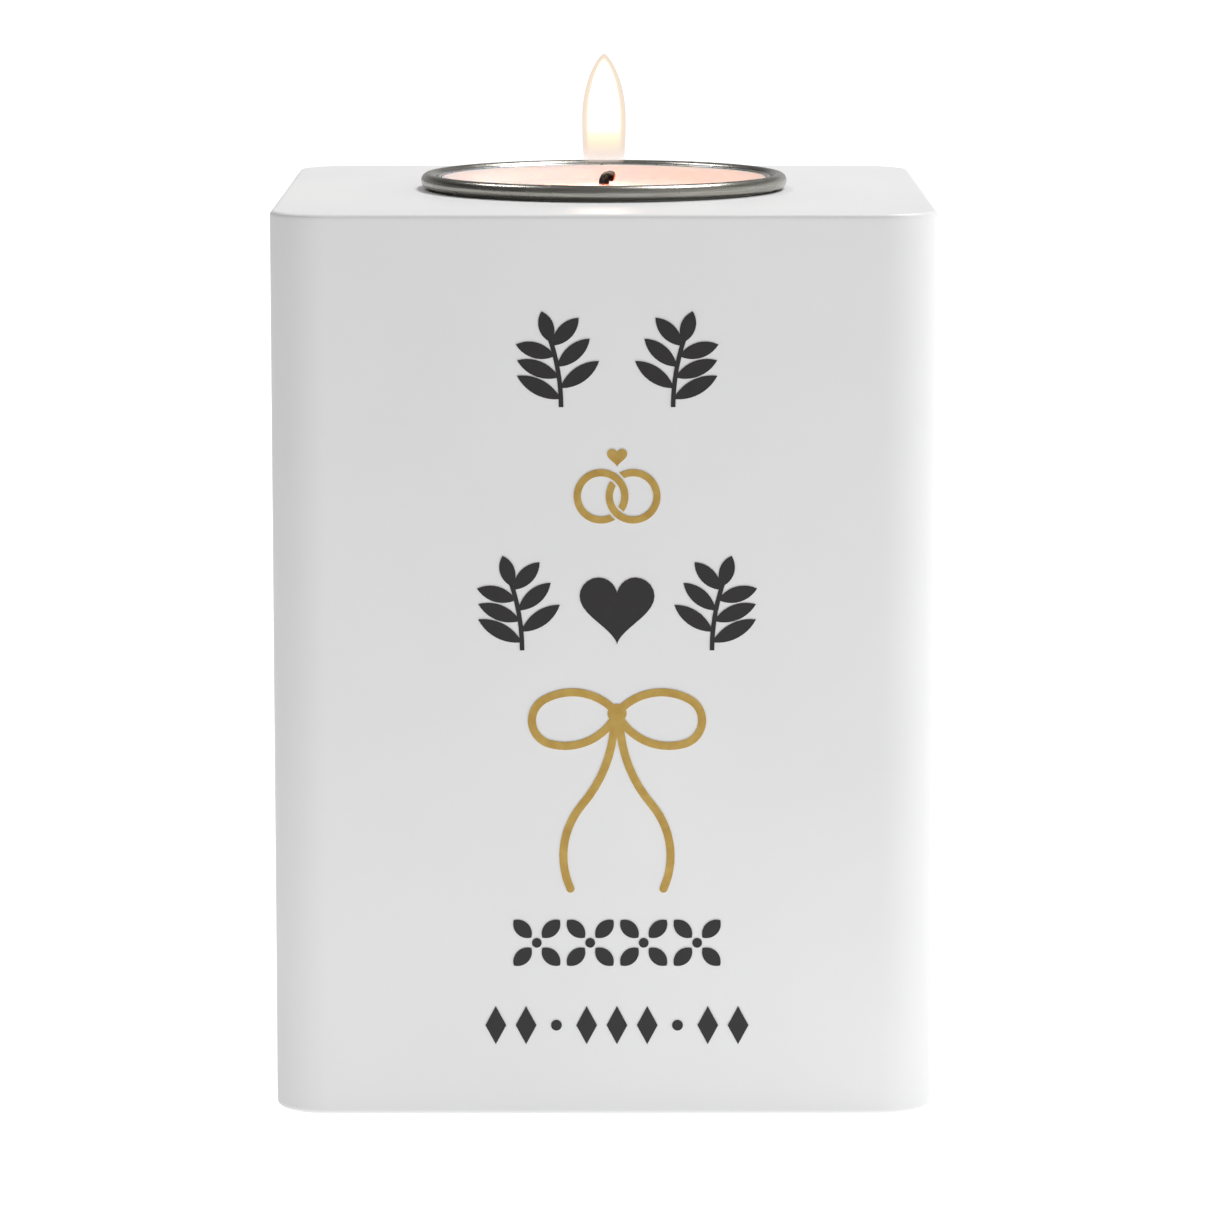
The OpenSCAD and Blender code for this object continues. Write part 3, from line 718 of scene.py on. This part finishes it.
def glowing(name, tints, strengths, clearness):
    """A glowing gas: colour, strength and opacity by height, each as (millimetres, value)."""
    material, tree, shader = finish_named(name, Roughness=1.0, Specular_IOR_Level=0.0)
    shader.inputs["Base Color"].default_value = (0, 0, 0, 1)
    place = add(tree, "ShaderNodeTexCoord").outputs["Object"]
    height = add(tree, "ShaderNodeSeparateXYZ", {0: place}).outputs["Z"]
    share = add(tree, "ShaderNodeMapRange", {0: height, 1: GLOW_LOW * MM, 2: GLOW_HIGH * MM,
                                             3: 0.0, 4: 1.0})

    def by_height(stops):
        return ramp(tree, share, [((z - GLOW_LOW) / (GLOW_HIGH - GLOW_LOW), value)
                                  for z, value in stops])

    tree.links.new(by_height(tints).outputs[0], shader.inputs["Emission Color"])
    most = max(value for _, value in strengths)
    strength = by_height([(z, value / most) for z, value in strengths])
    strength = add(tree, "ShaderNodeMath", {0: strength.outputs[0], 1: most}, operation="MULTIPLY")
    tree.links.new(strength.outputs[0], shader.inputs["Emission Strength"])
    tree.links.new(by_height(clearness).outputs[0], shader.inputs["Alpha"])
    return material


# White-hot soot: far brighter than the white of the room at its top, and fading to the root. Its
# tints lean to green there, because the peach skins in front of it redden what is seen through them
soot = glowing("white_hot_soot",
               [(101, "#fff0ea"), (104.3, "#fff0ee"), (105.2, "#eaf6be"), (106.1, "#f8ffc0"),
                (107.2, "#fff7e0"), (110, "#ffefd2")],
               [(101, 0.95), (104.3, 1.1), (105.2, 1.9), (106.1, 3.2), (107, 8.0), (110, 10.0)],
               [(103.0, 0.0), (103.9, 0.4), (104.8, 0.9), (105.4, 1.0), (115, 1.0)])
# Peach mantle: the cooler skin of the flame, thin enough to see through
mantle = glowing("peach_flame_mantle",
                 [(101, "#fbe3d6"), (104, "#fceadb"), (107, "#fff2d4"), (115, "#fff2d4")],
                 [(101, 1.0), (104, 1.0), (107, 1.1), (115, 1.1)],
                 [(102.8, 0.0), (103.8, 0.3), (104.6, 0.5), (106, 0.6), (115, 0.6)])
# Inner glow: softens the step from the mantle to the white-hot soot
glow_gas = glowing("yellow_flame_glow",
                   [(101, "#fceadb"), (104, "#fff0e0"), (107, "#fffbe0"), (115, "#fffbe0")],
                   [(101, 1.0), (104, 1.1), (107, 1.5), (115, 1.5)],
                   [(103.0, 0.0), (104.4, 0.3), (106, 0.55), (115, 0.55)])
# Outer haze: the very edge, where the mantle meets the air
haze_gas = glowing("outer_flame_haze",
                   [(101, "#ead4c8"), (115, "#e4cabb")],
                   [(101, 1.0), (115, 1.0)],
                   [(103.0, 0.0), (104.0, 0.3), (105, 0.5), (115, 0.5)])

for name, shrink, gas in [("flame_haze", 0.0, haze_gas), ("flame_mantle", 0.13 * MM, mantle),
                          ("flame_glow", 0.42 * MM, glow_gas), ("flame_core", 0.62 * MM, soot)]:
    zone = spun_piece(name, flame_section(shrink), gas, around=64)
    zone.visible_shadow = False
    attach(zone, "tealight")
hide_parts("flame")

# ---------------------------------------------------------------------------------------------
# Studio
# A seamless pale floor in a pale room, a broad softbox overhead on the right, a narrow one on the
# left, and a little warm light from the flame itself.

scene = bpy.context.scene
scene.view_settings.view_transform = "Standard"
scene.view_settings.look = "None"
scene.view_settings.exposure = 0.0
scene.view_settings.gamma = 1.0

bm = bmesh.new()
bmesh.ops.create_grid(bm, x_segments=8, y_segments=8, size=12.0)
floor = finished("floor", bm)
# Seamless white paper that glows. The camera sees it as plain white; the light that it gives the
# object is stronger on the right and in front of the block, where the front face needs it.
FRONT_GLOW = 2.0
paper, tree, shader = finish_named("seamless_white_paper", Roughness=0.9, Specular_IOR_Level=0.1)
shader.inputs["Base Color"].default_value = (0.3, 0.3, 0.3, 1)
shader.inputs["Emission Color"].default_value = (1, 1, 1, 1)
direct = add(tree, "ShaderNodeLightPath").outputs["Is Camera Ray"]
place = add(tree, "ShaderNodeTexCoord").outputs["Object"]
across = add(tree, "ShaderNodeSeparateXYZ", {0: place}).outputs["X"]
by_side = add(tree, "ShaderNodeMapRange", {0: across, 1: -0.25, 2: 0.25, 3: 0.52, 4: 1.0})
depth = add(tree, "ShaderNodeSeparateXYZ", {0: place}).outputs["Y"]
depth = add(tree, "ShaderNodeMapRange", {0: depth, 1: -0.4, 2: 0.0, 3: 0.0, 4: 1.0})
in_front = ramp(tree, depth, [(0.0, 0.55), (0.6, 0.68), (0.84, 0.84), (0.9, 0.84), (0.93, 0.5)])
glow = add(tree, "ShaderNodeMath", {0: by_side, 1: in_front}, operation="MULTIPLY")
glow = add(tree, "ShaderNodeMath", {0: glow, 1: FRONT_GLOW}, operation="MULTIPLY")
under_light = add(tree, "ShaderNodeMapRange", {0: direct, 1: 0.0, 2: 1.0, 3: glow, 4: 1.0})
tree.links.new(under_light.outputs[0], shader.inputs["Emission Strength"])
floor.data.materials.append(paper)

# The room: brightest low down behind, greyer overhead, and brighter to the right. The camera sees
# it as plain white.
room = bpy.data.worlds.new("room")
scene.world = room
room.use_nodes = True
tree = room.node_tree
tree.nodes.clear()
way = add(tree, "ShaderNodeSeparateXYZ", {0: add(tree, "ShaderNodeTexCoord").outputs["Generated"]})
front_light = ramp(tree, way.outputs["Z"], [(0.0, 0.62), (0.4, 0.62), (0.6, 0.42), (1.0, 0.46)])
back_light = ramp(tree, way.outputs["Z"], [(0.0, 0.9), (0.2, 0.9), (0.36, 0.25), (1.0, 0.4)])
behind = add(tree, "ShaderNodeMapRange", {0: way.outputs["Y"], 1: -0.25, 2: 0.25, 3: 0.0, 4: 1.0})
wall = add(tree, "ShaderNodeMix", {0: behind, 6: front_light.outputs[0], 7: back_light.outputs[0]},
           data_type="RGBA")
to_right = add(tree, "ShaderNodeMapRange", {0: way.outputs["X"], 1: -0.9, 2: 0.9, 3: 0.2, 4: 0.98})
wall = add(tree, "ShaderNodeVectorMath", {0: wall.outputs[2], "Scale": to_right}, operation="SCALE")
lit = add(tree, "ShaderNodeBackground", {0: wall, 1: 1.0})
seen = add(tree, "ShaderNodeBackground", {0: (1, 1, 1, 1), 1: 1.0})
direct = add(tree, "ShaderNodeLightPath").outputs["Is Camera Ray"]
both = add(tree, "ShaderNodeMixShader", {0: direct, 1: lit, 2: seen})
add(tree, "ShaderNodeOutputWorld", {0: both})


def softbox(name, where, size, power, colour="#ffffff"):
    """A softbox aimed at the top of the block, unseen by the camera."""
    data = bpy.data.lights.new(name, "AREA")
    data.shape = "RECTANGLE"
    data.size, data.size_y = size
    data.energy = power
    data.color = linear(colour)[:3]
    lamp = bpy.data.objects.new(name, data)
    lamp.location = where
    lamp.rotation_euler = (Vector((0, 0, 0.08)) - Vector(where)).to_track_quat("-Z", "Y").to_euler()
    lamp.visible_camera = False
    scene.collection.objects.link(lamp)
    return lamp


softbox("overhead_right", (0.50, 0.30, 1.25), (0.55, 0.4), 13.5)
softbox("overhead_left", (-0.60, 0.42, 1.15), (0.16, 0.3), 3.5)
flame_light = bpy.data.lights.new("flame_light", "POINT")
flame_light.energy = 0.0055
flame_light.color = linear("#ffd8bc")[:3]
flame_light.shadow_soft_size = 1.5 * MM
flame_lamp = bpy.data.objects.new("flame_light", flame_light)
flame_lamp.location = (0, 0, 106 * MM)
scene.collection.objects.link(flame_lamp)
flame_lamp.parent = frame["bodies"]["tealight"]

# The camera stands half a block's height above the block's top and looks down at it by its pitch
CAMERA_AT = (0.35 * MM, -646 * MM, 149.5 * MM)
CAMERA_PITCH = 8.63
lens = bpy.data.cameras.new("camera")
lens.lens = 167.1
lens.sensor_width = 36.0
lens.clip_start = 0.01
lens.clip_end = 50.0
lens.dof.use_dof = False
camera = bpy.data.objects.new("camera", lens)
camera.location = CAMERA_AT
camera.rotation_euler = (math.radians(90 - CAMERA_PITCH), 0, 0)
scene.collection.objects.link(camera)
scene.camera = camera
